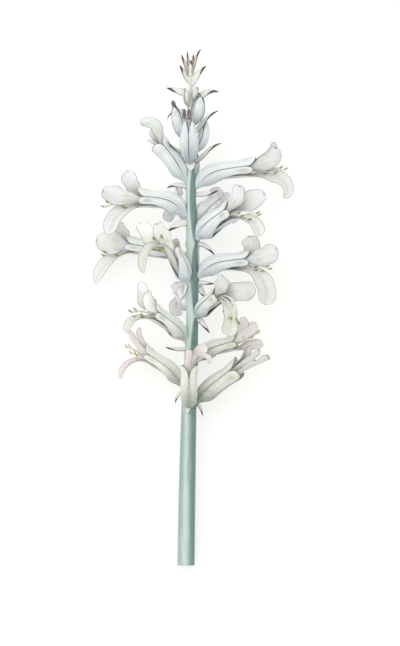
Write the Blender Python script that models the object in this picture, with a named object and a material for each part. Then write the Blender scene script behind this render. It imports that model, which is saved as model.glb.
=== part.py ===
"""Lachenalia flower: one cut flower spike, white with blue-grey tubes, lying on a surface.

The spike is first made in its own frame, in millimetres: the scape runs up +Y from its cut end at y 0, +X is
to its right and +Z is the side that faces up when it lies down. It is then tilted so that the cut end and two
florets at the back touch the surface, scaled to metres, and set with its box on the origin.
"""

import math
from dataclasses import dataclass

import bmesh
import bpy
import numpy as np
from mathutils import Matrix, Vector

MM = 0.001
SEAT_GAP = 0.3
BLADE = 0.6
FILAMENT_RADIUS = 0.42
TILT = math.radians(6.0)
LOWER_WHORL = 75.0

GLAUCOUS_GREEN = (0.36, 0.47, 0.42)
BLUE_WHITE = (0.78, 0.83, 0.85)
CREAM_GREEN = (0.72, 0.74, 0.63)
BUD_BLUE = (0.62, 0.70, 0.73)

# The scape: height up the spike, sideways drift of its centre, and radius, all in millimetres.
SCAPE_HEIGHTS = (0.0, 30.0, 56.0, 80.0, 112.0, 140.0, 160.0, 172.0, 178.0)
SCAPE_DRIFT = (-0.4, 0.1, 0.7, 1.7, 1.8, 1.2, 1.1, 1.3, 1.1)
SCAPE_RADII = (3.1, 2.95, 2.7, 2.15, 2.05, 1.65, 1.2, 0.8, 0.45)
SCAPE_SIDES = 12
SCAPE_RINGS = 13

TUBE_SIDES = 10
TUBE_RINGS = (0.0, 0.09, 0.24, 0.58, 1.0)
THROAT_FLOOR = 0.78
BLADE_START = 0.7
CLAW_OFFSET = 0.58
CLAW_WIDTH = 2.0
BRACT_ROOT = 1.2


@dataclass(frozen=True)
class Petal:
    """An upper inner tepal: free length past the mouth, width, and how it turns, in degrees."""

    length: float = 11.0
    width: float = 5.6
    swing: tuple = (10.0, 40.0)
    flare: float = 20.0
    side: float = 72.0
    cup: float = 70.0


@dataclass(frozen=True)
class Lip:
    """The lower inner tepal: free length past the mouth, width, downward bend, how late it bends, and twist."""

    length: float = 16.0
    width: float = 6.2
    bend: float = 95.0
    late: float = 1.5
    twist: float = 45.0
    channel: float = 80.0


@dataclass(frozen=True)
class Floret:
    """One open floret: where it sits, its tube, and its three inner tepals."""

    name: str
    height: float
    azimuth: float
    tube: float = 18.0
    radius: float = 2.9
    rise: tuple = (50.0, 5.0)
    turned_by: float = 0.62
    front: Petal = Petal()
    rear: Petal = Petal()
    lip: Lip = Lip()


@dataclass(frozen=True)
class Bud:
    """One closed bud: where it sits, its length and radius, and its pitch at base and tip."""

    name: str
    height: float
    azimuth: float
    length: float = 12.0
    radius: float = 2.2
    rise: tuple = (55.0, 70.0)


@dataclass(frozen=True)
class Bract:
    """One bract on the scape: where it grows, its length and width, its pitch at root, middle and tip, its roll."""

    height: float
    azimuth: float
    length: float = 6.0
    width: float = 2.6
    rise: tuple = (10.0, -10.0, -20.0)
    roll: float = 50.0


FLORETS = (
    Floret("floret_right_1", 134.6, 88, 22.0, 3.1, (50, 2), 0.6,
           Petal(12.0, 5.4, (2, 66), 14, 74), Petal(11.5, 4.4, (14, 66), 14, 60), Lip(18.5, 6.6, 102, 2.0, 55)),
    Floret("floret_left_1", 124.4, -88, 19.5, 3.2, (54, 2), 0.66,
           Petal(12.8, 6.6, (2, 16), 16, 92), Petal(9.0, 5.8, (42, 76), 10, 70), Lip(16.5, 6.6, 100, 1.2, 62)),
    Floret("floret_right_2", 116.6, 60, 17.5, 3.4, (46, 26), 0.6,
           Petal(8.0, 5.6, (34, 48), 10, 66), Petal(12.5, 6.6, (4, 0), 40, 84), Lip(14.5, 5.6, 112, 1.3, 30)),
    Floret("floret_left_2", 107.0, -104, 22.5, 2.8, (46, 4), 0.6,
           Petal(12.0, 8.4, (2, 14), 12, 84), Petal(7.0, 5.0, (30, 74), 12, 60), Lip(14.5, 5.6, 66, 0.8, 55)),
    Floret("floret_left_3", 100.8, -45, 15.0, 3.1, (62, 54), 0.6,
           Petal(9.0, 5.4, (4, 26), 8, 66), Petal(11.0, 6.4, (-20, 24), 46, 84), Lip(15.5, 5.0, 158, 1.0, 10)),
    Floret("floret_right_3", 102.6, 86, 19.5, 2.9, (50, 3), 0.6,
           Petal(10.5, 6.6, (4, 26), 14, 80), Petal(6.5, 5.4, (40, 90), 10, 66), Lip(13.8, 6.6, 92, 1.0, 58)),
    Floret("floret_right_4", 88.6, 46, 14.0, 3.0, (46, 28), 0.6,
           Petal(9.0, 5.6, (26, 34), 4, 66), Petal(12.0, 7.0, (-8, -8), 56, 84), Lip(14.0, 6.2, 130, 0.45, 0)),
    Floret("floret_left_4", 80.2, -68, 15.8, 3.1, (56, 30), 0.6,
           Petal(8.5, 5.8, (22, 58), 14, 76), Petal(11.5, 5.2, (16, 46), 10, 62), Lip(13.0, 4.4, 128, 0.9, 35)),
    Floret("floret_right_5", 73.2, 84, 15.5, 2.9, (50, 12), 0.6,
           Petal(9.5, 5.2, (18, 34), 14, 74), Petal(8.5, 4.4, (36, 70), 10, 60), Lip(9.5, 5.4, 14, 1.0, 50)),
    Floret("floret_left_5", 64.0, -94, 17.4, 2.8, (60, 30), 0.66,
           Petal(10.5, 3.2, (8, 18), 14, 70), Petal(9.0, 3.0, (22, 46), 10, 60), Lip(11.0, 4.0, 118, 0.9, 30)),
    Floret("floret_right_6", 58.4, 70, 19.6, 2.9, (46, 32), 0.6,
           Petal(10.5, 2.8, (-8, 2), 8, 70), Petal(9.0, 2.8, (8, 20), 8, 60), Lip(13.0, 3.0, 4, 1.0, 20)),
    Floret("floret_front_1", 57.0, 0, 16.5, 3.0, (24, 80), 0.4,
           Petal(7.5, 3.2, (0, -10), 130, 84), Petal(5.0, 3.0, (4, 24), 14, 60), Lip(5.0, 3.6, 20, 1.0, 0)),
    Floret("floret_left_6", 137.0, -84, 15.5, 3.2, (66, 46), 0.7,
           Petal(13.0, 4.8, (40, -60), 6, 80), Petal(5.0, 3.6, (6, 12), 6, 60), Lip(4.0, 3.6, 16, 1.0, 0)),
    Floret("floret_back_1", 123.0, 136, 12.5, 2.6, (56, 26), 0.6,
           Petal(7.5, 5.2, (30, 60), 14, 66), Petal(7.0, 5.0, (14, 34), 14, 70), Lip(11.3, 5.6, 110, 1.0, 0)),
    Floret("floret_back_2", 122.5, -153, 11.0, 2.5, (56, 28), 0.6,
           Petal(6.5, 5.0, (34, 60), 14, 66), Petal(6.5, 5.0, (24, 50), 14, 70), Lip(8.3, 5.4, 112, 1.0, 0)),
    Floret("floret_back_3", 91.0, -148, 8.0, 2.4, (50, 44), 0.6,
           Petal(5.0, 4.6, (30, 60), 14, 66), Petal(5.0, 4.6, (10, 30), 14, 70), Lip(5.5, 4.6, 120, 0.7, 0)),
    Floret("floret_back_4", 104.0, 178, 13.0, 2.4, (26, 84), 0.36,
           Petal(6.0, 4.4, (0, 10), 14, 66), Petal(6.0, 4.4, (0, 10), 14, 70), Lip(6.0, 4.4, 20, 1.0, 0)),
    Floret("floret_back_5", 56.5, 180, 15.5, 2.5, (26, 88), 0.3,
           Petal(6.5, 3.2, (0, 10), 10, 66), Petal(6.5, 3.2, (0, 10), 10, 70), Lip(6.0, 3.6, 6, 1.0, 0)),
)

BUDS = (
    Bud("bud_front_1", 143.4, -4, 15.5, 3.2, (46, 88)),
    Bud("bud_left_1", 151.0, -72, 12.8, 2.2, (62, 76)),
    Bud("bud_right_1", 156.6, 56, 9.5, 2.2, (60, 88)),
    Bud("bud_right_2", 147.0, 104, 12.0, 2.0, (50, 84)),
    Bud("bud_back_1", 137.0, 172, 13.0, 2.5, (40, 86)),
    Bud("bud_back_2", 151.5, -158, 10.0, 1.9, (46, 84)),
    Bud("bud_front_2", 163.2, -30, 7.0, 1.3, (50, 88)),
    Bud("bud_right_3", 165.4, 46, 5.2, 1.1, (50, 80)),
    Bud("bud_back_3", 161.5, 160, 6.4, 1.3, (50, 84)),
)

BRACTS = (
    Bract(130.6, 82, 8.0, 3.4, (-14, 12, 26)),
    Bract(134.5, -88, 6.6, 3.0, (26, 6, -36)),
    Bract(121.6, -80, 7.2, 3.8, (8, -22, -44)),
    Bract(113.6, 78, 7.0, 3.4, (-4, -40, -50)),
    Bract(100.2, 84, 5.4, 3.0, (6, 0, -8)),
    Bract(86.4, 60, 6.8, 3.2, (-30, -50, -56)),
    Bract(76.6, -84, 7.0, 3.2, (-10, 6, 18)),
    Bract(61.4, -84, 4.4, 2.6, (10, -50, -90)),
    Bract(55.4, 82, 4.8, 2.8, (-20, -60, -80)),
    Bract(53.6, 4, 3.6, 3.6, (-40, -60, -70)),
    Bract(145.2, -61, 9.2, 2.2, (42, 30, 44), 50),
    Bract(153.4, 84, 12.0, 2.8, (36, 54, 20)),
    Bract(143.2, 84, 11.6, 2.8, (20, 48, 14)),
    Bract(140.0, 0, 3.6, 3.8, (30, 50, 60)),
    Bract(164.8, 108, 9.6, 3.0, (34, 34, -10)),
    Bract(167.0, -98, 8.0, 3.4, (46, 16, 20)),
    Bract(160.6, -122, 9.6, 2.4, (30, 4, -70)),
    Bract(172.0, 76, 7.8, 2.8, (64, 54, 34)),
    Bract(173.0, -84, 6.0, 2.4, (52, 60, 56)),
    Bract(177.0, -30, 5.6, 2.0, (76, 96, 116), 0),
    Bract(176.6, -84, 5.2, 2.0, (72, 60, 70), 0),
    Bract(177.0, 60, 4.8, 2.0, (80, 88, 80), 0),
    Bract(176.8, 84, 7.0, 2.0, (80, 54, 60)),
)


def smooth_step(x):
    """0 below 0, 1 above 1, and an even S between."""
    x = min(max(x, 0.0), 1.0)
    return x * x * (3 - 2 * x)


def through(knots, values, x):
    """The value at x of a smooth curve through the knots."""
    k = max(0, min(len(knots) - 2, int(np.searchsorted(knots, x, "right")) - 1))
    width = knots[k + 1] - knots[k]
    t = (x - knots[k]) / width

    def slope(i):
        low, high = max(i - 1, 0), min(i + 1, len(knots) - 1)
        return (values[high] - values[low]) / (knots[high] - knots[low]) * width

    return (
        values[k] * (2 * t**3 - 3 * t**2 + 1)
        + slope(k) * (t**3 - 2 * t**2 + t)
        + values[k + 1] * (3 * t**2 - 2 * t**3)
        + slope(k + 1) * (t**3 - t**2)
    )


def scape_centre(height):
    return Vector((through(SCAPE_HEIGHTS, SCAPE_DRIFT, height), height, 0.0))


def scape_radius(height):
    return through(SCAPE_HEIGHTS, SCAPE_RADII, height)


def clear_of_scape(point):
    """The point, moved straight out of the scape to the seat gap where it lies closer."""
    centre = scape_centre(point.y)
    away = point - centre
    least = scape_radius(point.y) + SEAT_GAP
    return centre + away * (least / away.length) if 0 < away.length < least else point


def outward(azimuth):
    """The direction straight out of the scape: 0 degrees faces up from the surface, 90 to the right."""
    a = math.radians(azimuth)
    return Vector((math.sin(a), 0.0, math.cos(a)))


class Route:
    """A centreline with its frames: along, towards (the inner or upper side) and across."""

    STEPS = 40

    def __init__(self, start, along, towards, length, turn, swing=None):
        """turn(u) and swing(u) give the whole angle turned by u, in radians: turn bends along to towards."""
        self.length = length
        along = along.normalized()
        across = along.cross(towards).normalized()
        towards = across.cross(along)
        point = start.copy()
        self.rows = [(point, along, towards, across)]
        for i in range(self.STEPS):
            u0, u1 = i / self.STEPS, (i + 1) / self.STEPS
            bend = turn(u1) - turn(u0)
            along, towards = (
                (along * math.cos(bend) + towards * math.sin(bend)).normalized(),
                (towards * math.cos(bend) - along * math.sin(bend)).normalized(),
            )
            if swing:
                side = swing(u1) - swing(u0)
                along, across = (
                    (along * math.cos(side) + across * math.sin(side)).normalized(),
                    (across * math.cos(side) - along * math.sin(side)).normalized(),
                )
            point = point + along * (length / self.STEPS)
            self.rows.append((point, along, towards, across))

    def at(self, u):
        place = min(max(u, 0.0), 1.0) * self.STEPS
        i = min(int(place), self.STEPS - 1)
        t = place - i
        first, second = self.rows[i], self.rows[i + 1]
        return tuple(a.lerp(b, t) for a, b in zip(first, second))


def route_from_scape(height, azimuth, length, rise, turned_by):
    """The centreline of a tube, bud or bract that grows out of the scape, turning from rise[0] to rise[1]."""
    out = outward(azimuth)
    up = Vector((0.0, 1.0, 0.0))
    first, last = (math.radians(angle) for angle in rise)
    start = scape_centre(height) + out * (scape_radius(height) + SEAT_GAP)
    along = out * math.cos(first) + up * math.sin(first)
    towards = up * math.cos(first) - out * math.sin(first)
    return Route(start, along, towards, length, lambda u: (last - first) * smooth_step(u / turned_by))


class Solid:
    """A closed mesh in the making, in millimetres."""

    def __init__(self):
        self.mesh = bmesh.new()

    def ring(self, points):
        return [self.mesh.verts.new(point) for point in points]

    def band(self, low, high):
        """Two triangles between each pair of neighbours of two rings."""
        count = len(low)
        for i in range(count):
            j = (i + 1) % count
            self.mesh.faces.new((low[i], low[j], high[j]))
            self.mesh.faces.new((low[i], high[j], high[i]))

    def cap(self, ring, centre):
        tip = self.mesh.verts.new(centre)
        for first, second in zip(ring, ring[1:] + ring[:1]):
            self.mesh.faces.new((first, second, tip))

    def object(self, name):
        bmesh.ops.recalc_face_normals(self.mesh, faces=self.mesh.faces)
        data = bpy.data.meshes.new(name)
        self.mesh.to_mesh(data)
        self.mesh.free()
        made = bpy.data.objects.new(name, data)
        bpy.context.scene.collection.objects.link(made)
        return made


def tube_radius(floret, s, angle):
    """The tube's radius at s along it and at an angle round it from its upper side, in radians."""
    profile = through((0.0, 0.08, 0.2, 0.42, 0.7, 1.0), (0.3, 0.56, 0.87, 1.0, 0.97, 1.06), s)
    below = max(0.0, -math.cos(angle))
    sag = 0.16 * below * math.exp(-(((s - 0.22) / 0.16) ** 2))
    return floret.radius * (profile + sag)


def lobe_end(angle):
    """How far along the tube its rim reaches, at an angle from its upper side: three lobes and a gap below."""
    a = abs(math.degrees(angle))
    a = min(a, 360 - a)
    return through((0.0, 30.0, 60.0, 90.0, 115.0, 150.0, 180.0), (1.02, 0.98, 0.86, 0.94, 0.98, 0.9, 0.8), a)


def tube_point(floret, route, s, angle, inset=0.0):
    point, _, towards, across = route.at(s)
    radius = tube_radius(floret, s, angle) - inset
    return point + (towards * math.cos(angle) + across * math.sin(angle)) * radius


def tube_solid(floret, route):
    """The three joined outer tepals: a closed tube with a lobed rim and a throat."""
    solid = Solid()
    angles = [2 * math.pi * i / TUBE_SIDES for i in range(TUBE_SIDES)]
    rings = []
    for s in TUBE_RINGS:
        rings.append(solid.ring(tube_point(floret, route, s * lobe_end(a) if s == 1.0 else s, a) for a in angles))
    rims = [lobe_end(a) for a in angles]
    inner = solid.ring(tube_point(floret, route, e - 0.02, a, BLADE) for a, e in zip(angles, rims))
    floor = solid.ring(tube_point(floret, route, THROAT_FLOOR, a, BLADE * 1.4) for a in angles)
    chain = rings + [inner, floor]
    for low, high in zip(chain, chain[1:]):
        solid.band(low, high)
    solid.cap(rings[0], route.at(0.0)[0])
    solid.mesh.faces.new(floor)
    return solid.object(floret.name)


def blade_solid(name, route, width, cup, rows, columns, twist=None):
    """A curved blade along a route: width(u) across it, cup(u) the angle its section spans, twist(u) its roll."""
    solid = Solid()
    upper, lower = [], []
    for i in range(rows + 1):
        u = i / rows
        point, _, towards, across = route.at(u)
        roll = twist(u) if twist else 0.0
        towards, across = (
            towards * math.cos(roll) + across * math.sin(roll),
            across * math.cos(roll) - towards * math.sin(roll),
        )
        span = max(cup(u), 0.02)
        radius = width(u) / span
        top, bottom = [], []
        for j in range(columns + 1):
            a = span * (j / columns - 0.5)
            middle = point + across * (radius * math.sin(a)) + towards * (radius * (1 - math.cos(a)))
            normal = towards * math.cos(a) - across * math.sin(a)
            top.append(solid.mesh.verts.new(middle + normal * (BLADE / 2)))
            bottom.append(solid.mesh.verts.new(middle - normal * (BLADE / 2)))
        upper.append(top)
        lower.append(bottom)
    make = solid.mesh.faces.new
    for i in range(rows):
        for j in range(columns):
            for face in (upper, lower):
                make((face[i][j], face[i][j + 1], face[i + 1][j + 1]))
                make((face[i][j], face[i + 1][j + 1], face[i + 1][j]))
        for j in (0, columns):
            make((upper[i][j], upper[i + 1][j], lower[i + 1][j]))
            make((upper[i][j], lower[i + 1][j], lower[i][j]))
    for i in (0, rows):
        for j in range(columns):
            make((upper[i][j], upper[i][j + 1], lower[i][j + 1]))
            make((upper[i][j], lower[i][j + 1], lower[i][j]))
    return solid.object(name)


def petal_solid(floret, route, petal, side):
    """An upper inner tepal: a narrow claw in the throat, then a rounded limb."""
    angle = side * math.radians(petal.side)
    point, along, towards, across = route.at(BLADE_START)
    out = towards * math.cos(angle) + across * math.sin(angle)
    claw = (1 - BLADE_START) * floret.tube
    length = claw + petal.length
    mouth = claw / length
    first, last = (math.radians(angle) for angle in petal.swing)

    def after_mouth(u):
        return smooth_step((u - mouth * 0.8) / (1 - mouth * 0.8))

    def swing(u):
        return side * (first * smooth_step(u / mouth) + (last - first) * after_mouth(u))

    path = Route(point + out * (floret.radius * CLAW_OFFSET), along, -out, length,
                 lambda u: -math.radians(petal.flare) * after_mouth(u), swing)

    def width(u):
        limb = CLAW_WIDTH + (petal.width - CLAW_WIDTH) * smooth_step((u - mouth) / 0.32)
        tip = max(0.0, (u - 0.7) / 0.3)
        return limb * math.sqrt(max(0.12, 1 - tip**2.4))

    return blade_solid(f"{floret.name}_petal", path, width, lambda u: math.radians(petal.cup), 6, 2)


def lip_solid(floret, route, side):
    """The lower inner tepal: a channelled strap that runs out of the mouth and arches down."""
    lip = floret.lip
    point, along, towards, _ = route.at(BLADE_START)
    claw = (1 - BLADE_START) * floret.tube
    length = claw + lip.length
    mouth = claw / length

    def turn(u):
        return -math.radians(lip.bend) * max(0.0, (u - mouth * 0.7) / (1 - mouth * 0.7)) ** lip.late

    path = Route(point - towards * (floret.radius * CLAW_OFFSET), along, towards, length, turn)

    def width(u):
        limb = CLAW_WIDTH + (lip.width - CLAW_WIDTH) * smooth_step((u - mouth) / 0.45)
        tip = max(0.0, (u - 0.8) / 0.2)
        return limb * math.sqrt(max(0.12, 1 - tip**2.2))

    return blade_solid(f"{floret.name}_lip", path, width, lambda u: math.radians(lip.channel), 7, 2,
                       lambda u: side * math.radians(lip.twist) * smooth_step((u - mouth * 0.8) / 0.4))


def filament_solid(floret, route, spread, lift):
    """A stamen: a three-sided filament that lies over the lip, and its thicker anther."""
    point, along, towards, across = route.at(BLADE_START)
    claw = (1 - BLADE_START) * floret.tube
    length = claw + 0.72 * floret.lip.length
    path = Route(point - towards * 0.3 + across * (spread * 0.8), along, towards, length,
                 lambda u: -math.radians(0.34 * floret.lip.bend + lift) * smooth_step(u),
                 lambda u: math.radians(14) * spread * u)
    solid = Solid()
    rings = []
    for u, size in ((0.0, 0.9), (0.55, 0.9), (0.86, 1.5), (1.0, 1.0)):
        centre, _, up, side = path.at(u)
        radius = FILAMENT_RADIUS * size
        rings.append(solid.ring(
            centre + (up * math.cos(a) + side * math.sin(a)) * radius
            for a in (math.pi / 2, math.pi * 7 / 6, math.pi * 11 / 6)))
    for low, high in zip(rings, rings[1:]):
        solid.band(low, high)
    solid.mesh.faces.new(rings[0])
    solid.mesh.faces.new(rings[-1])
    return solid.object(f"{floret.name}_stamen")


def joined(name, shapes):
    """One body from overlapping solids, by a Boolean union of the first with a collection of the rest."""
    base = shapes[0]
    base.name = name
    group = bpy.data.collections.new(f"{name}_parts")
    bpy.context.scene.collection.children.link(group)
    for shape in shapes[1:]:
        bpy.context.scene.collection.objects.unlink(shape)
        group.objects.link(shape)
    union = base.modifiers.new("union", "BOOLEAN")
    union.operation = "UNION"
    union.operand_type = "COLLECTION"
    union.collection = group
    union.solver = "EXACT"
    bpy.context.view_layer.update()
    graph = bpy.context.evaluated_depsgraph_get()
    fused = bpy.data.meshes.new_from_object(base.evaluated_get(graph))
    base.modifiers.clear()
    base.data = fused
    for shape in list(group.objects):
        bpy.data.objects.remove(shape)
    bpy.data.collections.remove(group)
    return base


def front_side(route):
    """Which way across the tube points to the viewer's side, or to the right on a floret that faces up."""
    across = route.at(1.0)[3]
    return 1 if across.z + 0.3 * across.x >= 0 else -1


def make_floret(floret):
    route = route_from_scape(floret.height, floret.azimuth, floret.tube, floret.rise, floret.turned_by)
    side = front_side(route)
    shapes = [
        tube_solid(floret, route),
        petal_solid(floret, route, floret.front, side),
        petal_solid(floret, route, floret.rear, -side),
        lip_solid(floret, route, side),
    ]
    for spread, lift in ((-1, 6), (0, -8), (1, 0)):
        shapes.append(filament_solid(floret, route, spread, lift))
    fused = joined(floret.name, shapes)
    for vertex in fused.data.vertices:
        vertex.co = clear_of_scape(vertex.co)
    return fused


def make_bud(bud):
    """A closed bud: a short stalk, a full body and a blunt three-lobed tip."""
    route = route_from_scape(bud.height, bud.azimuth, bud.length, bud.rise, 0.8)
    solid = Solid()
    rings = []
    for s, size in ((0.0, 0.3), (0.1, 0.55), (0.25, 0.86), (0.5, 1.0), (0.75, 0.86), (0.92, 0.5)):
        point, _, towards, across = route.at(s)
        ring = []
        for i in range(9):
            a = 2 * math.pi * i / 9
            radius = bud.radius * size * (1 + 0.07 * math.cos(3 * a))
            ring.append(clear_of_scape(point + (towards * math.cos(a) + across * math.sin(a)) * radius))
        rings.append(solid.ring(ring))
    for low, high in zip(rings, rings[1:]):
        solid.band(low, high)
    solid.cap(rings[0], route.at(0.0)[0])
    solid.cap(rings[-1], route.at(1.0)[0])
    return solid.object(bud.name)


def bract_solid(bract):
    """A bract: a boat-shaped blade, broad near its root, which is sunk in the scape, and tapering to a point."""
    start, along, towards, across = route_from_scape(bract.height, bract.azimuth, 1.0, bract.rise[:2], 1.0).rows[0]
    length = bract.length + BRACT_ROOT

    def turn(u):
        return math.radians(through((0.0, 0.5, 1.0), bract.rise, u) - bract.rise[0])

    path = Route(start - along * BRACT_ROOT, along, towards, length, turn)
    side = 1 if across.z + 0.3 * across.x >= 0 else -1
    return blade_solid("bract", path, lambda u: bract.width * through((0.0, 0.3, 0.7, 1.0), (0.8, 1.0, 0.62, 0.16), u),
                       lambda u: math.radians(110 * (1 - 0.6 * u)), 4, 2,
                       lambda u: side * math.radians(bract.roll))


def make_scape():
    solid = Solid()
    top = SCAPE_HEIGHTS[-1]
    rings = []
    for i in range(SCAPE_RINGS + 1):
        height = top * i / SCAPE_RINGS
        centre, radius = scape_centre(height), scape_radius(height)
        rings.append(solid.ring(
            centre + outward(360 * j / SCAPE_SIDES) * radius for j in range(SCAPE_SIDES)))
    for low, high in zip(rings, rings[1:]):
        solid.band(low, high)
    solid.cap(rings[0], scape_centre(0.0))
    solid.cap(rings[-1], scape_centre(top) + Vector((0.0, 0.6, 0.0)))
    return joined("scape", [solid.object("scape")] + [bract_solid(bract) for bract in BRACTS])


def lie_down(objects):
    """Tilts the spike about its cut end, stands it on the surface in metres and centres its box on the origin."""
    lay = Matrix.Rotation(TILT, 4, "X")
    lift = scape_radius(0.0) * math.cos(TILT)
    for thing in objects:
        for vertex in thing.data.vertices:
            point = lay @ vertex.co
            point.z = max(point.z + lift, 0.0)
            vertex.co = point * MM
    points = [vertex.co for thing in objects for vertex in thing.data.vertices]
    middle = Vector([(min(p[i] for p in points) + max(p[i] for p in points)) / 2 for i in (0, 1)] + [0.0])
    for thing in objects:
        thing.data.transform(Matrix.Translation(-middle))


def finish(thing, colour, roughness=0.5):
    """Gives a piece its own material and smooth shading."""
    material = bpy.data.materials.new(f"{thing.name}_finish")
    material.use_nodes = True
    shader = material.node_tree.nodes["Principled BSDF"]
    shader.inputs["Base Color"].default_value = (*colour, 1.0)
    shader.inputs["Roughness"].default_value = roughness
    shader.inputs["Metallic"].default_value = 0.0
    thing.data.materials.clear()
    thing.data.materials.append(material)
    thing.data.shade_smooth()
    thing.data.set_sharp_from_angle(angle=math.radians(38))


def main():
    for thing in list(bpy.data.objects):
        bpy.data.objects.remove(thing)
    scape = make_scape()
    finish(scape, GLAUCOUS_GREEN)
    made = [scape]
    for floret in FLORETS:
        made.append(make_floret(floret))
        finish(made[-1], CREAM_GREEN if floret.height < LOWER_WHORL else BLUE_WHITE)
    for bud in BUDS:
        made.append(make_bud(bud))
        finish(made[-1], BUD_BLUE)
    lie_down(made)


main()
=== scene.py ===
"""Lachenalia flower: the finished look of one cut flower spike that lies on a pale table.

Each part is modelled again, finer than in the frame and close to the frame's centrelines. The spike is shaped
in its own millimetres: the scape runs up +Y from its cut end at y 0, +X is to its right and +Z faces up. It
is then laid into the loaded frame.
"""

from collections import namedtuple
from math import cos, hypot, pi, radians, sin, sqrt

import bpy
import numpy as np
from mathutils import Matrix, Vector


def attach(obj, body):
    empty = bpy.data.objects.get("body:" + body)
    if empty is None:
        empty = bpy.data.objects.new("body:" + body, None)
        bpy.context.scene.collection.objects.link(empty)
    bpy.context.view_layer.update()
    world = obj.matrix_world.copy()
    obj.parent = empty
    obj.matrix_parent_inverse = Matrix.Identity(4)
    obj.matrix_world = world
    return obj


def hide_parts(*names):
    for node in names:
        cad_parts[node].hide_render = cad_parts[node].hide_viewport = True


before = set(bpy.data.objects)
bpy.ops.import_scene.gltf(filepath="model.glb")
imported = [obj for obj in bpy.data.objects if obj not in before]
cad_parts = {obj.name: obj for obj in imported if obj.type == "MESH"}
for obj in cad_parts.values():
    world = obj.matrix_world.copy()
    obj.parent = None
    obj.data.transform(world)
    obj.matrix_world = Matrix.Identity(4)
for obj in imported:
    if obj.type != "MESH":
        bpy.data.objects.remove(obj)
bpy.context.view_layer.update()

MM = 0.001
# How far the scape rises towards its tip, and the gap between it and what grows from it.
TILT = radians(6.0)
SEAT_GAP = 0.3

# The scape: height up the spike, sideways drift of its centre, and radius, all in millimetres.
SCAPE_HEIGHTS = (0.0, 30.0, 56.0, 80.0, 112.0, 140.0, 160.0, 172.0, 178.0)
SCAPE_DRIFT = (-0.4, 0.1, 0.7, 1.7, 1.8, 1.2, 1.1, 1.3, 1.1)
SCAPE_RADII = (3.1, 2.95, 2.7, 2.15, 2.05, 1.65, 1.05, 0.64, 0.4)
SCAPE_SIDES, SCAPE_RINGS = 36, 260
# Where its bare round part and the joints above it end, the azimuth at about which its painted lit side
# ends and its painted shade begins, and how far tepals stay clear of it.
SCAPE_BARE = 50.0
SCAPE_JOINTS = (57.0, 88.5, 114.0, 141.0, 160.0, 179.0)
LIGHT_FACE = 8.0
SCAPE_CLEARANCE = 0.25

# Heights that divide the colours.
LOWER_WHORL = 75.0
YOUNG_BUDS = 160.0
TOPMOST_BRACTS = 175.0

# Shares of the greatest radius or width at stations along each form; a bud's core has even ones.
TUBE_STATIONS = (0.0, 0.08, 0.2, 0.42, 0.7, 1.0)
TUBE_PROFILE = (0.3, 0.56, 0.87, 1.0, 0.97, 1.06)
BUD_STATIONS = (0.0, 0.1, 0.25, 0.5, 0.75, 0.92, 1.0)
BUD_PROFILE = (0.3, 0.55, 0.86, 1.0, 0.86, 0.58, 0.36)
CORE_PROFILE = (0.2, 0.66, 0.76, 0.6, 0.12)
BRACT_STATIONS = (0.0, 0.3, 0.7, 1.0)
BRACT_PROFILE = (0.8, 1.0, 0.62, 0.1)

# Where an inner tepal leaves the tube, in shares of its length and radius, its claw's width, and where the
# claw starts to widen and over how much of the length, and a wave's turn in radians.
BLADE_START = 0.7
CLAW_OFFSET = 0.58
CLAW_WIDTH = 2.0
LIMB_START = 0.75
LIMB_SPREAD = 0.36
WAVE_TURN = 6.28

# Where the lip leaves the tube, and its width at its root and along its claw.
LIP_START = 0.3
LIP_ROOT = 2.4
LIP_CLAW = 3.8

# Half the angle that a bud's tepal spans, and how deep a bract's root is sunk.
BUD_HALF = radians(61)
BRACT_ROOT = 1.2

# Rows and columns of points in each kind of blade, and its thickness.
TEPAL_GRID, TEPAL_THICKNESS = (52, 21), 0.5
PETAL_GRID, PETAL_THICKNESS = (38, 17), 0.45
LIP_GRID = (60, 17)
BRACT_GRID, BRACT_THICKNESS = (26, 11), 0.4
SHARP_EDGE = radians(60)

# Radii along the stamens' parts.
FILAMENT_RADII = (0.24, 0.22, 0.19, 0.17)
BUD_FILAMENT_RADII = (0.2, 0.18, 0.16)
STYLE_RADII = (0.26, 0.2, 0.18, 0.26)
ANTHER_RADII = (0.1, 0.3, 0.36, 0.32, 0.1)
ANTHER_LENGTH = 1.7

# The order of the finishes in a floret's list and in a bud's.
OUTER, INNER, LIP, FILAMENT, ANTHER = range(5)
BUD_CORE, BUD_ANTHER = 1, 2

# The camera: the page in the photograph is 230 mm tall, seen from straight above the scape.
PHOTO_PIXELS = (400, 646)
MM_PER_PIXEL = 0.356
STEM_PIXEL = (187, 565)
LENS = 150.0
SENSOR = 36.0


# An upper inner tepal: its free length past the mouth, its width, and angles: swing turns it sideways in the
# throat and past it, late says how late, flare bends it out, side is where round the tube it stands, and cup
# is what its section spans.
Petal = namedtuple("Petal", "length width swing flare side cup late pointed", defaults=(70.0, 1.0, 0.0))

# The lower inner tepal: its free length past the mouth, width, downward bend, how late it bends, and twist.
# channel is the angle its section spans, early is how early it twists, waist is how far it narrows before a
# knobbed tip, and widest is where it is widest.
Lip = namedtuple("Lip", "length width bend late twist channel early pointed waist widest",
                 defaults=(80.0, 0.3, 0.0, 0.0, 0.48))

# An open floret. rise is its tube's pitch at the base and from turned_by on; stamens are their length past
# the mouth, bend and fan. dorsal is how far along the tube the upper lobe reaches, parted is where lobes
# narrow, opened is the angle by which the lower two bare the lip, joined is how far up no seam shows, slim
# keeps the tube narrow, curl turns the lower lobes' tips out, and marked is how strong the blotches are.
Floret = namedtuple(
    "Floret",
    "name height azimuth tube radius rise turned_by front rear lip stamens dorsal parted opened joined slim"
    " curl marked",
    defaults=(1.04, 0.86, 55.0, 0.34, 1.0, -0.1, 1.0))

# A closed bud. rise is its pitch at its base and at its tip.
Bud = namedtuple("Bud", "name height azimuth length radius rise marked", defaults=(0.6,))

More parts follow.
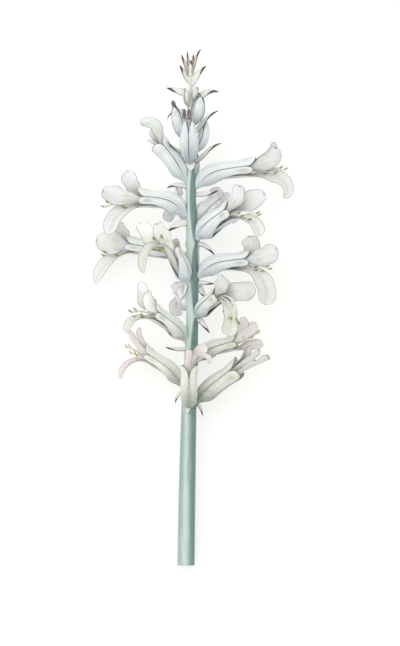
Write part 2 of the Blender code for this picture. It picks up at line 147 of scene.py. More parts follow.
# A bract on the scape. rise is its pitch at its root, middle and tip, and dark is how dark its tip is.
Bract = namedtuple("Bract", "height azimuth length width rise roll dark", defaults=(50.0, 1.0))

FLORETS = (
    Floret("floret_right_1", 134.8, 88, 22, 3.4, (50, 4), 0.6,
        Petal(11.5, 6.4, (6, 74), 12, 74, late=2), Petal(12, 4.2, (16, 74), 14, 60, late=2),
        Lip(17.5, 6.8, 140, 2.8, 55, pointed=0.7), (10, 6, 6), dorsal=1.07),
    Floret("floret_left_1", 124.6, -88, 18.6, 3.4, (54, 2), 0.66,
        Petal(13.6, 6.6, (2, 16), 16, 92), Petal(9.4, 5.8, (36, 78), 10, 70),
        Lip(15.6, 6.6, 96, 1.3, 62), (11, 20, 10), dorsal=1.03),
    Floret("floret_right_2", 116.6, 60, 17.5, 3.8, (46, 26), 0.6,
        Petal(9.4, 6.2, (24, 36), 10, 90), Petal(12, 6.8, (4, 2), 36, 84),
        Lip(12.2, 5.6, 112, 1.1, 34), (8.5, 46, 8), dorsal=1.02),
    Floret("floret_left_2", 110.6, -104, 22, 3.1, (10, 8), 0.6,
        Petal(11, 8.6, (0, 2), 12, 84), Petal(7, 5, (32, 78), 12, 60),
        Lip(16.5, 6.2, 84, 0.8, 60, pointed=0.4), (7.7, 34, 8), dorsal=1.02, slim=2.2),
    Floret("floret_left_3", 100.8, -45, 15, 3.1, (62, 54), 0.6,
        Petal(12, 5.8, (-12, -4), 8, 106), Petal(14.2, 6.6, (-36, 16), 40, 84),
        Lip(18.5, 4.8, 166, 1, 14, channel=120, pointed=0.5), (7.6, 54, 18), dorsal=1.05),
    Floret("floret_right_3", 102.8, 86, 19.5, 3.3, (50, 3), 0.6,
        Petal(11, 7.4, (4, 28), 14, 80), Petal(6.8, 7.2, (44, 98), 26, 70, cup=120),
        Lip(14.8, 7.6, 108, 0.75, 62, channel=70, early=0.65), (6.6, 26, 8), dorsal=1.03),
    Floret("floret_right_4", 88.6, 46, 14, 3, (46, 28), 0.6,
        Petal(7.6, 6.6, (22, 36), 4, 98), Petal(12.2, 7, (-16, -20), 50, 84),
        Lip(13.6, 6.6, 150, 0.5, 40, widest=1), (12.4, 120, 2), dorsal=1.02, opened=34),
    Floret("floret_left_4", 80.2, -68, 15.8, 3.1, (56, 30), 0.6,
        Petal(8, 6.4, (14, 54), 14, 76, pointed=0.7), Petal(11.8, 6, (12, 50), 10, 62, pointed=0.7),
        Lip(11.6, 4.4, 122, 1.3, 24), (7.4, 34, 10), dorsal=1.13),
    Floret("floret_right_5", 73.2, 84, 15.5, 2.9, (50, 12), 0.6,
        Petal(9.5, 5, (18, 34), 14, 74), Petal(8.5, 4.4, (36, 70), 10, 60),
        Lip(9, 5.2, 0, 1, 50), (7.5, -20, 6), dorsal=1.02),
    Floret("floret_left_5", 64, -94, 17.4, 2.8, (60, 30), 0.66,
        Petal(10.2, 2.6, (10, 30), 10, 70, cup=130), Petal(9.2, 2.5, (26, 48), 10, 60, cup=130),
        Lip(11, 4.2, 118, 0.9, 30), (6.4, 8, 9), dorsal=1.1),
    Floret("floret_right_6", 58.4, 70, 19.6, 3.4, (46, 32), 0.6,
        Petal(10.8, 4.2, (2, 4), 0, 70, cup=240), Petal(8.8, 4, (16, 25), 0, 60, cup=240),
        Lip(11.8, 6, 14, 1, 0, channel=230, pointed=-0.5, waist=0.36), (-2.5, 0, 2),
        dorsal=1.07, parted=0.8, opened=10),
    Floret("floret_front_1", 57, 0, 16.5, 3, (24, 80), 0.4,
        Petal(9.6, 4.4, (0, -10), 140, 112), Petal(8.4, 4.8, (24, 50), 0, 0),
        Lip(5.4, 2.8, 4, 1, 0), (-2.5, 0, 2),
        dorsal=1.02, parted=0.62, opened=-1, joined=0.62, curl=0.5),
    Floret("floret_left_6", 137, -84, 16.7, 3.2, (66, 46), 0.7,
        Petal(11.8, 4.2, (30, -76), 6, 80, cup=50, late=2.2), Petal(5, 3.6, (6, 12), 6, 60),
        Lip(3, 3.6, 16, 1, 0), (-2.5, 0, 2), dorsal=1.02, parted=0.84, opened=4, marked=0.1),
    Floret("floret_back_1", 123, 136, 12.5, 2.6, (56, 26), 0.6,
        Petal(4.2, 5.4, (28, 50), 10, 66, cup=40), Petal(9.2, 5.8, (-14, -18), -22, 84, cup=40),
        Lip(11.3, 5.6, 110, 1, 0), (-1.5, 20, 8)),
    Floret("floret_back_2", 122.5, -153, 11, 2.5, (56, 28), 0.6,
        Petal(6.5, 5, (34, 60), 14, 66), Petal(6.5, 5, (24, 50), 14, 70),
        Lip(8.3, 5.4, 112, 1, 0), (-1.5, 20, 8)),
    Floret("floret_back_3", 91, -148, 8, 2.4, (50, 44), 0.6,
        Petal(4, 6, (12, 24), 10, 66, cup=40), Petal(5, 4.6, (10, 30), 14, 70),
        Lip(6.2, 5.8, 168, 0.34, 0, channel=60, pointed=0.4, widest=0.3), (-1.5, 20, 10)),
    Floret("floret_back_4", 104, 178, 13, 2.4, (26, 84), 0.36,
        Petal(6, 4.4, (0, 10), 14, 66), Petal(6, 4.4, (0, 10), 14, 70),
        Lip(6, 4.4, 20, 1, 0), (2.5, 0, 6)),
    Floret("floret_back_5", 56.5, 180, 15.5, 2.5, (26, 88), 0.3,
        Petal(6.5, 3.2, (0, 10), 10, 66), Petal(6.5, 3.2, (0, 10), 10, 70),
        Lip(6, 3.6, 6, 1, 0), (2.5, 0, 6)),
)

BUDS = (
    Bud("bud_front_1", 143.4, -4, 15.5, 3.2, (46, 88)),
    Bud("bud_left_1", 151, -72, 12.8, 2.2, (62, 76)),
    Bud("bud_right_1", 156.6, 58, 10.6, 2.2, (58, 84)),
    Bud("bud_right_2", 147, 104, 12, 2, (50, 84)),
    Bud("bud_back_1", 137, 172, 13, 2.5, (40, 86)),
    Bud("bud_back_2", 151.5, -158, 10, 1.9, (46, 84)),
    Bud("bud_front_2", 163.2, -30, 7, 1.15, (50, 88)),
    Bud("bud_right_3", 165.4, 46, 5.2, 1.1, (50, 80)),
    Bud("bud_back_3", 161.5, 160, 6.4, 1.3, (50, 84)),
)

# Anthers at the tips of opening buds: how far aside, how far past the tip, length, size and lean.
PROTRUDING_ANTHERS = {
    "bud_front_1": ((0, 3.4, 4.3, 1.15, 0.1), (1.75, 3.6, 4.1, 1.15, 0.1)),
    "bud_left_1": ((0.5, 1.7, 3, 2.3, -0.3),),
    "bud_right_1": ((0, 1, 2.4, 0.9, 0.1),),
}

# The six filaments of a floret: sideways spread, lift, share of the bend, and share of the length.
STAMEN_FAN = (
    (-1, 0.7, 0.8, 1), (-0.6, 0.2, 1.1, 0.5), (-0.2, 0.5, 0.95, 1.16),
    (0.25, 0, 1.2, 0.44), (0.65, 0.4, 1.25, 0.8), (1, 0.3, 0.9, 0.4),
)

BRACTS = (
    Bract(131.6, 82, 8, 2.6, (-8, 10, 24)),
    Bract(134.5, -88, 6.6, 2.6, (26, 6, -36)),
    Bract(121.6, -80, 7, 3.6, (8, -22, -44)),
    Bract(114.2, 78, 7, 2.4, (10, -30, -54)),
    Bract(100.2, 84, 5.4, 2.4, (6, 0, -8)),
    Bract(87.6, 60, 6.8, 2.4, (-20, -46, -56)),
    Bract(76.6, -84, 7, 1.9, (-10, 6, 18)),
    Bract(61.4, -84, 4.4, 1.5, (10, -50, -90)),
    Bract(57.4, 82, 4.6, 1.5, (-20, -60, -80)),
    Bract(57.4, -8, 3.4, 3.8, (-66, -82, -88), roll=0, dark=0.1),
    Bract(145.2, -61, 9.2, 2.2, (42, 30, 44)),
    Bract(153.4, 84, 12, 2.6, (36, 54, 20)),
    Bract(143.2, 84, 11.6, 2.6, (20, 48, 14)),
    Bract(142.4, 4, 2.2, 4.2, (-60, -80, -88), roll=0, dark=0.1),
    Bract(164.8, 108, 10.6, 3.2, (34, 34, -14), 60),
    Bract(167, -98, 8, 3.4, (50, 20, 16), 60),
    Bract(160.6, -122, 9.6, 2.4, (30, 4, -70)),
    Bract(171.6, 76, 7.6, 3.2, (64, 56, 34), 70),
    Bract(172.6, -84, 6, 2.8, (56, 62, 56), 70),
    Bract(176, -60, 6.8, 2.6, (86, 86, 82), 60),
    Bract(175.2, -80, 6.8, 2.6, (80, 68, 66), 60),
    Bract(176.4, 56, 5.6, 2.4, (84, 84, 82), 60),
    Bract(175.8, 84, 8.4, 2.4, (80, 74, 52), 60),
    Bract(175.4, 10, 4.2, 2.6, (78, 84, 88), 0),
    Bract(100.2, -52, 6.6, 1.5, (-50, -76, -40), dark=0.5),
    Bract(99, 118, 5.2, 2.8, (-30, -52, -64), roll=90, dark=0.8),
)


def ease(x):
    """0 below 0, 1 above 1, and an even S between."""
    x = min(max(x, 0.0), 1.0)
    return x * x * (3 - 2 * x)


def through(knots, values, x):
    """The value at x of a smooth curve through the knots."""
    k = max(0, min(len(knots) - 2, int(np.searchsorted(knots, x, "right")) - 1))
    width = knots[k + 1] - knots[k]
    t = (x - knots[k]) / width

    def slope(i):
        low, high = max(i - 1, 0), min(i + 1, len(knots) - 1)
        return (values[high] - values[low]) / (knots[high] - knots[low]) * width

    return (
        values[k] * (2 * t**3 - 3 * t**2 + 1)
        + slope(k) * (t**3 - 2 * t**2 + t)
        + values[k + 1] * (3 * t**2 - 2 * t**3)
        + slope(k + 1) * (t**3 - t**2)
    )


def hump(x, centre, width):
    """A smooth hump of height 1 at the centre."""
    return np.exp(-(((x - centre) / width) ** 2))


def scape_centre(height):
    return Vector((through(SCAPE_HEIGHTS, SCAPE_DRIFT, height), height, 0.0))


def scape_radius(height):
    return through(SCAPE_HEIGHTS, SCAPE_RADII, height)


def outward(azimuth):
    """The direction straight out of the scape: 0 degrees faces up from the surface, 90 to the right."""
    a = radians(azimuth)
    return Vector((sin(a), 0.0, cos(a)))


def facing(across):
    """Which way across points to the viewer's side, or to the right on a form that faces up: 1 or -1."""
    return 1 if across.z + 0.3 * across.x >= 0 else -1


def rotated(a, b, angle):
    """Two directions at right angles, turned in their plane from a towards b."""
    return (a * cos(angle) + b * sin(angle)).normalized(), (b * cos(angle) - a * sin(angle)).normalized()


class Route:
    """A centreline with its frames: along, towards (the inner or upper side) and across."""

    STEPS = 60

    def __init__(self, start, along, towards, length, turn, swing=None):
        """turn(u) and swing(u) give the whole angle turned by u, in radians: turn bends along to towards."""
        self.length = length
        along = along.normalized()
        across = along.cross(towards).normalized()
        towards = across.cross(along)
        point = start
        self.rows = [(point, along, towards, across)]
        for i in range(self.STEPS):
            u0, u1 = i / self.STEPS, (i + 1) / self.STEPS
            bend = turn(u1) - turn(u0)
            along, towards = rotated(along, towards, bend)
            if swing:
                along, across = rotated(along, across, swing(u1) - swing(u0))
            point = point + along * (length / self.STEPS)
            self.rows.append((point, along, towards, across))

    def at(self, u):
        """The point and frame at u, carried straight on past either end."""
        place = min(max(u, 0.0), 1.0) * self.STEPS
        i = min(int(place), self.STEPS - 1)
        t = place - i
        point, along, towards, across = (a.lerp(b, t) for a, b in zip(self.rows[i], self.rows[i + 1]))
        return point + along * (self.length * (u - place / self.STEPS)), along, towards, across

    def arrays(self, u):
        """The same as numpy arrays."""
        return tuple(np.array(vector) for vector in self.at(u))


def route_from_scape(height, azimuth, length, rise, turned_by):
    """The centreline of a tube, bud or bract that grows out of the scape, turning from rise[0] to rise[1]."""
    out = outward(azimuth)
    up = Vector((0.0, 1.0, 0.0))
    first, last = (radians(angle) for angle in rise)
    start = scape_centre(height) + out * (scape_radius(height) + SEAT_GAP)
    along = out * cos(first) + up * sin(first)
    towards = up * cos(first) - out * sin(first)
    return Route(start, along, towards, length, lambda u: (last - first) * ease(u / turned_by))


def spike_to_frame():
    """The matrix that lays the spike's own millimetres into the loaded frame, by the scape's cut end."""
    corners = [vertex.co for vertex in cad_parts["scape"].data.vertices]
    low = min(corner.y for corner in corners)
    cut = [corner.x for corner in corners if corner.y < low + MM]
    radius = scape_radius(0.0) * MM
    middle = (min(cut) + max(cut)) / 2 - scape_centre(0.0).x * MM
    shift = Vector((middle, low + radius * sin(TILT), radius * cos(TILT)))
    return Matrix.Translation(shift) @ Matrix.Rotation(TILT, 4, "X") @ Matrix.Scale(MM, 4)


TO_FRAME = spike_to_frame()


class Flesh:
    """The closed bodies of one piece, with petal coordinates and the values that its materials read."""

    # What is painted on the points, with its value where nothing is said: far from any edge, and none.
    PAINTS = {"edge": 9.0, "shade": 0.0, "blotch": 0.0, "blush": 0.0}

    def __init__(self):
        self.points, self.uv, self.faces, self.kinds = [], [], [], []
        self.paint = {name: [] for name in self.PAINTS}
        self.count = 0

    def add(self, grids, faces, kind, paint):
        """Adds a closed body through one or two grids of points; paint values are grids too."""
        rows, columns = shape = grids[0].shape[:2]
        along = np.broadcast_to(paint.get("along", np.linspace(0, 1, rows)[:, None]), shape)
        across = np.broadcast_to(np.linspace(0, 1, columns), shape)
        self.uv.append(np.tile(np.stack([across, along], -1).reshape(-1, 2), (len(grids), 1)))
        self.points.extend(grid.reshape(-1, 3) for grid in grids)
        self.faces.extend([self.count + i for i in face] for face in faces)
        self.kinds.extend([kind] * len(faces))
        for name, usual in self.PAINTS.items():
            value = np.broadcast_to(paint.get(name, usual), shape).ravel()
            self.paint[name].append(np.tile(value, len(grids)))
        self.count += rows * columns * len(grids)

    def shell(self, upper, lower, kind, **paint):
        """A closed blade between two grids of points."""
        shape = upper.shape[:2]
        size = shape[0] * shape[1]
        grid = np.arange(size).reshape(shape)
        quads = np.stack([grid[:-1, :-1], grid[:-1, 1:], grid[1:, 1:], grid[1:, :-1]], -1).reshape(-1, 4)
        faces = np.stack([quads, size + quads[:, ::-1]], 1).reshape(-1, 4).tolist()
        rim = np.concatenate([grid[0], grid[1:, -1], grid[-1, -2::-1], grid[-2:0:-1, 0]])
        ahead = np.roll(rim, -1)
        faces += np.stack([rim, size + rim, size + ahead, ahead], -1).tolist()
        self.add((upper, lower), faces, kind, paint)

    def turned(self, rings, kind, **paint):
        """A closed round body through rings of points, from a first to a last ring, with flat ends."""
        rows, sides = rings.shape[:2]
        grid = np.arange(rows * sides).reshape(rows, sides)
        ahead = np.roll(grid, -1, 1)
        faces = np.stack([grid[:-1], ahead[:-1], ahead[1:], grid[1:]], -1).reshape(-1, 4).tolist()
        faces += [grid[0, ::-1].tolist(), grid[-1].tolist()]
        self.add((rings,), faces, kind, paint)

    def piece(self, name, slot, finishes, *nodes):
        """Makes the finished object, laid into the frame, which stands for the named nodes."""
        matrix = np.array(TO_FRAME)
        points = np.concatenate(self.points) @ matrix[:3, :3].T + matrix[:3, 3]
        points[:, 2] = np.maximum(points[:, 2], 0.0)
        mesh = bpy.data.meshes.new(name)
        mesh.from_pydata(points.tolist(), [], self.faces)
        uv = np.concatenate(self.uv).astype(np.float32)
        corners = np.zeros(len(mesh.loops), int)
        mesh.loops.foreach_get("vertex_index", corners)
        mesh.uv_layers.new(name="petal").uv.foreach_set("vector", uv[corners].ravel())
        for paint, values in self.paint.items():
            attribute = mesh.attributes.new(paint, "FLOAT", "POINT")
            attribute.data.foreach_set("value", np.concatenate(values).astype(np.float32))
        mesh.polygons.foreach_set("material_index", np.array(self.kinds, np.int32))
        for finish in finishes:
            mesh.materials.append(finish)
        mesh.shade_smooth()
        mesh.set_sharp_from_angle(angle=SHARP_EDGE)
        made = bpy.data.objects.new(name, mesh)
        bpy.context.scene.collection.objects.link(made)
        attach(made, "root")
        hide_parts(*nodes)


def tube_radius(floret, s, angle):
    """The tube's radius at s along it, and at angles round it from its upper side, in radians."""
    swell = max(0.0, min(s, 1.0)) ** floret.slim
    below = np.maximum(0.0, -np.cos(angle))
    return floret.radius * (through(TUBE_STATIONS, TUBE_PROFILE, swell) + 0.16 * below * hump(s, 0.22, 0.16))


def bud_radius(bud, s, angle):
    """The bud's radius at s along it, at any angle."""
    return bud.radius * through(BUD_STATIONS, BUD_PROFILE, min(s, 1.0))


def outer_tepal(flesh, form, radius_at, route, seams, reach, curl, parted, spot=0.0, joined=0.34):
    """One of the three outer tepals, which are joined below and part towards their rounded tips.

    seams(t) gives the angles round the tube between which the tepal lies, reach is how far along it the tip
    comes, curl is how many millimetres the tip turns out, parted is where it narrows, spot is where across it
    the blotch lies, and below joined no seam shows.
    """
    rows, columns = TEPAL_GRID
    xs = np.linspace(-1, 1, columns)
    upper, lower = np.zeros((2, rows, columns, 3))
    edge, shade, blotch, along_at = np.zeros((4, rows, columns))
    for i in range(rows):
        t = 1 - (1 - i / (rows - 1)) ** 1.5
        s = t * reach - 0.03 * (1 - t)
        point, along, towards, across = route.arrays(s)
        narrow = sqrt(max(0.004, 1 - max(0.0, (t - parted) / (1 - parted)) ** 2.2))
        low, high = seams(t)
        centre, half = (low + high) / 2, (high - low) / 2
        angle = centre + half * narrow * xs
        radius = radius_at(form, s, angle)
        groove = 0.05 * ease((t - 0.25) * 2) * np.abs(xs) ** 6
        ridge = 0.05 * (1 - xs**2) * ease(t * 2.5)
        swell = 0.1 * hump(t, 0.88, 0.07) * hump(xs, spot, 0.5)
        dimple = 0.05 * hump(t, 0.72, 0.07) * hump(xs, spot, 0.6)
        radius = radius + form.radius * (ridge + swell - groove - dimple)
        out = towards * np.cos(angle)[:, None] + across * np.sin(angle)[:, None]
        middle = towards * cos(centre) + across * sin(centre)
        bent = max(0.0, (t - 0.86) / 0.14) ** 2 * curl
        shift = middle * bent - along * (0.25 * abs(bent))
        thinner = (1 - 0.6 * np.abs(xs) ** 3) * (1 - 0.55 * ease((t - 0.8) / 0.2))
        upper[i] = point + out * radius[:, None] + shift
        lower[i] = point + out * (radius - TEPAL_THICKNESS * thinner)[:, None] + shift
        side = (1 - np.abs(xs)) * half * narrow * radius
        hidden = 0.9 * max(0.0, joined - t)
        edge[i] = np.minimum(side + hidden, (1 - t) * reach * route.length + 0.02)
        # Painted shade: darker on the tube's underside, towards its base and towards the seams.
        under = 0.5 - 0.5 * np.cos(angle)
        base = 0.68 * (1 - ease(t / 0.8)) * (0.3 + 0.7 * under)
        shade[i] = 0.18 * under + base + 0.24 * np.abs(xs) ** 3
        blotch[i] = form.marked * hump(t, 0.84, 0.1) * hump(xs, spot, 0.38)
        along_at[i] = t
    push_clear(upper)
    push_clear(lower)
    flesh.shell(upper, lower, OUTER, edge=edge, shade=shade, blotch=blotch, along=along_at)


def push_clear(grid):
    """Moves the points of a grid that lie inside the scape straight out of it, but not the sunk root."""
    for row in grid[3:]:
        for point in row:
            away = point - np.array(scape_centre(point[1]))
            away[1] = 0.0
            distance = hypot(away[0], away[2])
            least = scape_radius(float(point[1])) + SCAPE_CLEARANCE
            if 0 < distance < least:
                point += away * (least / distance - 1)


def blade(flesh, route, kind, grid, width, cup, roll=None, ripple=None, rim=None, notch=None,
          thickness=PETAL_THICKNESS, **paint):
    """A curved blade along a route: width(u) across, cup(u) the angle its section spans, roll(u) its twist.

    ripple(u, xs) lifts it off its surface, rim(u) stretches its two halves, notch(u, xs) draws it back, and
    paint holds functions of u and xs too.
    """
    rows, columns = grid
    xs = np.linspace(-1, 1, columns)
    upper, lower = np.zeros((2, rows, columns, 3))
    edge, along_at = np.zeros((2, rows, columns))
    painted = {name: np.zeros(grid) for name in paint}
    for i in range(rows):
        u = 1 - (1 - i / (rows - 1)) ** 1.35
        point, along, towards, across = route.arrays(u)
        turn = roll(u) if roll else 0.0
        towards, across = towards * cos(turn) + across * sin(turn), across * cos(turn) - towards * sin(turn)
        span = cup(u)
        radius = width(u) / span
        left, right = rim(u) if rim else (1.0, 1.0)
        a = span / 2 * np.where(xs < 0, left, right) * xs
        normal = towards * np.cos(a)[:, None] - across * np.sin(a)[:, None]
        aside, deep = (radius * np.sin(a))[:, None], (radius * (1 - np.cos(a)))[:, None]
        middle = point + across * aside + towards * deep
        if ripple:
            middle = middle + normal * ripple(u, xs)[:, None]
        if notch:
            middle = middle - along * notch(u, xs)[:, None]
        thinner = (1 - 0.7 * np.abs(xs) ** 3) * (1 - 0.6 * ease((u - 0.8) / 0.2))
        half = (thickness / 2 * thinner)[:, None]
        upper[i] = middle + normal * half
        lower[i] = middle - normal * half
        edge[i] = np.minimum((1 - np.abs(xs)) * width(u) / 2, (1 - u) * route.length + 0.02)
        along_at[i] = u
        for name, value in paint.items():
            painted[name][i] = value(u, xs)
    flesh.shell(upper, lower, kind, edge=edge, along=along_at, **painted)


def round_tip(u, start, blunt):
    """How a blade's width closes to a rounded tip from start on."""
    return sqrt(max(0.002, 1 - max(0.0, (u - start) / (1 - start)) ** blunt))


def inner_petal(flesh, floret, route, petal, side, seed):
    """An upper inner tepal: a claw in the throat, then a rounded, softly waved limb."""
    draw = np.random.default_rng(seed)
    waves, phase, depth = draw.uniform(1.6, 2.8), draw.uniform(0, WAVE_TURN, 2), draw.uniform(0.3, 0.5)
    around = side * radians(petal.side)
    point, along, towards, across = route.at(BLADE_START)
    out = towards * cos(around) + across * sin(around)
    claw = (1 - BLADE_START) * floret.tube
    length = claw + petal.length
    mouth = claw / length
    first, last = (radians(angle) for angle in petal.swing)
    hook = radians(draw.uniform(18, 42))
    bays, starts = draw.uniform(1.5, 3.0, 2), draw.uniform(0, WAVE_TURN, 2)
    bite, bite_at = draw.uniform(0.2, 0.8), draw.uniform(-0.35, 0.35)

    def after_mouth(u):
        return ease((u - mouth * 0.8) / (1 - mouth * 0.8))

    def swing(u):
        return side * (first * ease(u / mouth) + (last - first) * after_mouth(u) ** petal.late)

    def turn(u):
        return -radians(petal.flare) * after_mouth(u) - hook * max(0.0, (u - 0.82) / 0.18) ** 2

    def width(u):
        limb = CLAW_WIDTH + (petal.width - CLAW_WIDTH) * ease((u - mouth * LIMB_START) / LIMB_SPREAD)
        return limb * round_tip(u, 0.7 - 0.35 * petal.pointed, 2.4 - 1.1 * petal.pointed)

    def cup(u):
        return radians(petal.cup) * (1 - 0.35 * ease((u - 0.7) / 0.3))

    def ripple(u, xs):
        rise = ease((u - mouth) / 0.3)
        left, right = (np.sin(WAVE_TURN * waves * u + phase[i]) for i in (0, 1))
        return rise * depth * np.abs(xs) ** 2.5 * np.where(xs < 0, left, right) * petal.width / 6

    def rim(u):
        wave = 0.07 * ease((u - mouth) / 0.3)
        return 1 + wave * np.sin(WAVE_TURN * bays * u + starts)

    def notch(u, xs):
        return bite * max(0.0, (u - 0.8) / 0.2) ** 2 * hump(xs, bite_at, 0.3)

    # Painted shade: darker in the throat, over the petal's lower half and in a patch towards its tip.
    def shade(u, xs):
        throat = 1 - ease((u - mouth * 0.8) / 0.4)
        lower_half = np.clip(0.1 - 0.9 * side * xs, 0, 1)
        return 0.08 + 0.5 * throat + 0.34 * lower_half + 0.12 * hump(u, 0.8, 0.15) * hump(xs, 0.2, 0.4)

    def blotch(u, xs):
        return 0.7 * hump(u, mouth + 0.2, 0.09) * hump(np.abs(xs), 0.25, 0.2)

    def blush(u, xs):
        return ease((u - mouth) / 0.4)

    path = Route(point + out * (floret.radius * CLAW_OFFSET), along, -out, length, turn, swing)
    blade(flesh, path, INNER, PETAL_GRID, width, cup, ripple=ripple, rim=rim, notch=notch,
          shade=shade, blotch=blotch, blush=blush)


def lip(flesh, floret, route, side):
    """The lower inner tepal: a channelled strap that shows under the tube, runs on and arches down."""
    form = floret.lip
    point, along, towards, _ = route.at(LIP_START)
    depth = floret.radius * (0.34 + 0.5 * min(1.0, max(0.0, floret.opened / 50)))
    tube_bend = radians(floret.rise[1] - floret.rise[0])

    def tube_turn(s):
        return tube_bend * (ease(s / floret.turned_by) - ease(LIP_START / floret.turned_by))

    claw = (1 - LIP_START) * floret.tube + depth * tube_turn(1.0)
    length = claw + form.length
    mouth = claw / length
    bend_from = mouth - 0.09 * floret.tube / length

    def free(u):
        return (u - mouth) / (1 - mouth)

    def turn(u):
        own = radians(form.bend) * max(0.0, (u - bend_from) / (1 - bend_from)) ** form.late
        return tube_turn(LIP_START + (1 - LIP_START) * min(u / mouth, 1.0)) - own

    def tip(past_mouth):
        waist = 1 - form.waist * float(hump(past_mouth, 0.64, 0.13))
        return waist * round_tip(past_mouth, 0.72 - 0.3 * form.pointed, 2.3 - 1.1 * form.pointed)

    def width(u):
        claw_width = LIP_ROOT + (LIP_CLAW - LIP_ROOT) * ease(u / mouth * 1.4)
        return (claw_width + (form.width - LIP_CLAW) * ease(free(u) / form.widest)) * tip(free(u))

    def roll(u):
        return side * radians(form.twist) * ease((free(u) + form.early) / 0.75)

    def ripple(u, xs):
        return 0.2 * ease(free(u) / 0.5) * np.abs(xs) ** 2.5 * np.sin(15 * u + 2 * np.sign(xs))

    # Painted shade: darker towards the root inside the tube and down the middle of the channel.
    def shade(u, xs):
        return 0.18 + 0.6 * (1 - ease(u / mouth * 0.9)) + 0.2 * hump(xs, 0, 0.3)

    def blush(u, xs):
        return ease((free(u) + 0.2) / 0.5)

    path = Route(point - towards * depth, along, towards, length, turn)
    blade(flesh, path, LIP, LIP_GRID, width, lambda u: radians(form.channel), roll, ripple,
          shade=shade, blush=blush)


def rod(flesh, path, sizes, kind, sides=8, start=0.0, end=1.0, flat=1.0):
    """A round body along part of a path; sizes are radii at even steps, and flat squashes its section."""
    steps = 6 * (len(sizes) - 1)
    knots = np.linspace(0, 1, len(sizes))
    angles = 2 * pi * np.arange(sides) / sides
    rings = np.zeros((steps + 1, sides, 3))
    for i in range(steps + 1):
        t = i / steps
        point, _, towards, across = path.arrays(start + (end - start) * t)
        radius = max(0.03, through(knots, sizes, t))
        rings[i] = (point + towards * (radius * flat * np.cos(angles))[:, None]
                    + across * (radius * np.sin(angles))[:, None])
    flesh.turned(rings, kind)


def anther(flesh, path, kind, length=ANTHER_LENGTH, size=1.0, tilt=0.45):
    """A two-lobed anther that lies across the end of its filament."""
    point, along, towards, across = path.at(1.0)
    tilted = along * 0.8 + towards * tilt
    for side in (-0.2, 0.2):
        start = point - tilted * (length * 0.45) + across * (side * size)
        lobe = Route(start, tilted, towards, length, lambda u: 0.35 * u)
        rod(flesh, lobe, tuple(size * value for value in ANTHER_RADII), kind, flat=0.8)


def stamens(flesh, floret, route):
    """Three long and three short filaments and a style that leave the throat over the lip."""
    point, along, towards, across = route.at(BLADE_START)
    claw = (1 - BLADE_START) * floret.tube
    free, bend, fan = floret.stamens
    for spread, lift, share, reach in STAMEN_FAN:
        start = point - towards * (0.7 - 0.7 * lift) + across * (spread * 0.75)
        turned = -radians(bend + 5 * fan * (share - 1))
        path = Route(start, along, towards, claw + reach * free, lambda u: turned * ease(u),
                     lambda u: radians(fan) * spread * u)
        rod(flesh, path, FILAMENT_RADII, FILAMENT)
        anther(flesh, path, ANTHER)
    turned = -radians(1.06 * bend)
    path = Route(point, along, towards, claw + 1.1 * free, lambda u: turned * ease(u))
    rod(flesh, path, STYLE_RADII, FILAMENT)


def outer_tepals(flesh, floret, route):
    """The three joined outer tepals: the dorsal one, and two lateral ones that leave the lip bare below."""
    def upper(t):
        return radians(92 - 18 * ease((t - 0.2) / 0.7))

    def lower(t):
        return pi - radians(floret.opened) * ease((t - 0.2) / 0.6)

    for seams, reach, curl, spot in (
        (lambda t: (-upper(t), upper(t)), floret.dorsal, 10 * (floret.dorsal - 1), 0.0),
        (lambda t: (upper(t), lower(t)), 1.0, floret.curl, -0.2),
        (lambda t: (-lower(t), -upper(t)), 1.0, floret.curl, 0.2),
    ):
        outer_tepal(flesh, floret, tube_radius, route, seams, reach, curl, floret.parted, spot, floret.joined)


def make_floret(floret, finishes):
    """An open floret. The seed of its petals' waves comes from the letters of its name."""
    route = route_from_scape(floret.height, floret.azimuth, floret.tube, floret.rise, floret.turned_by)
    side = facing(route.at(1.0)[3])
    seed = sum(ord(letter) * (i + 1) for i, letter in enumerate(floret.name))
    flesh = Flesh()
    outer_tepals(flesh, floret, route)
    inner_petal(flesh, floret, route, floret.front, side, seed)
    inner_petal(flesh, floret, route, floret.rear, -side, seed + 1)
    lip(flesh, floret, route, side)
    stamens(flesh, floret, route)
    slot = "lower_floret" if floret.height < LOWER_WHORL else "upper_floret"
    flesh.piece(f"{floret.name}_bloom", slot, finishes, floret.name)


def make_bud(bud, finishes):
    """A bud: three outer tepals closed round a paler core, with blunt free tips."""
    route = route_from_scape(bud.height, bud.azimuth, bud.length, bud.rise, 0.8)
    flesh = Flesh()
    for turn in (0, -1, 1):
        seams = (radians(120 * turn) - BUD_HALF, radians(120 * turn) + BUD_HALF)
        outer_tepal(flesh, bud, bud_radius, route, lambda t: seams, reach=1.0, curl=-0.05, parted=0.66)
    rod(flesh, route, tuple(bud.radius * value for value in CORE_PROFILE), BUD_CORE, 16, 0.02, 0.94)
    for spread, reach, length, size, lean in PROTRUDING_ANTHERS.get(bud.name, ()):
        point, along, towards, across = route.at(0.9)
        path = Route(point + across * spread, along, towards, reach, lambda u: 0.1 * u)
        rod(flesh, path, BUD_FILAMENT_RADII, BUD_CORE)
        anther(flesh, path, BUD_ANTHER, length, size, lean)
    flesh.piece(f"{bud.name}_closed", "bud", finishes, bud.name)


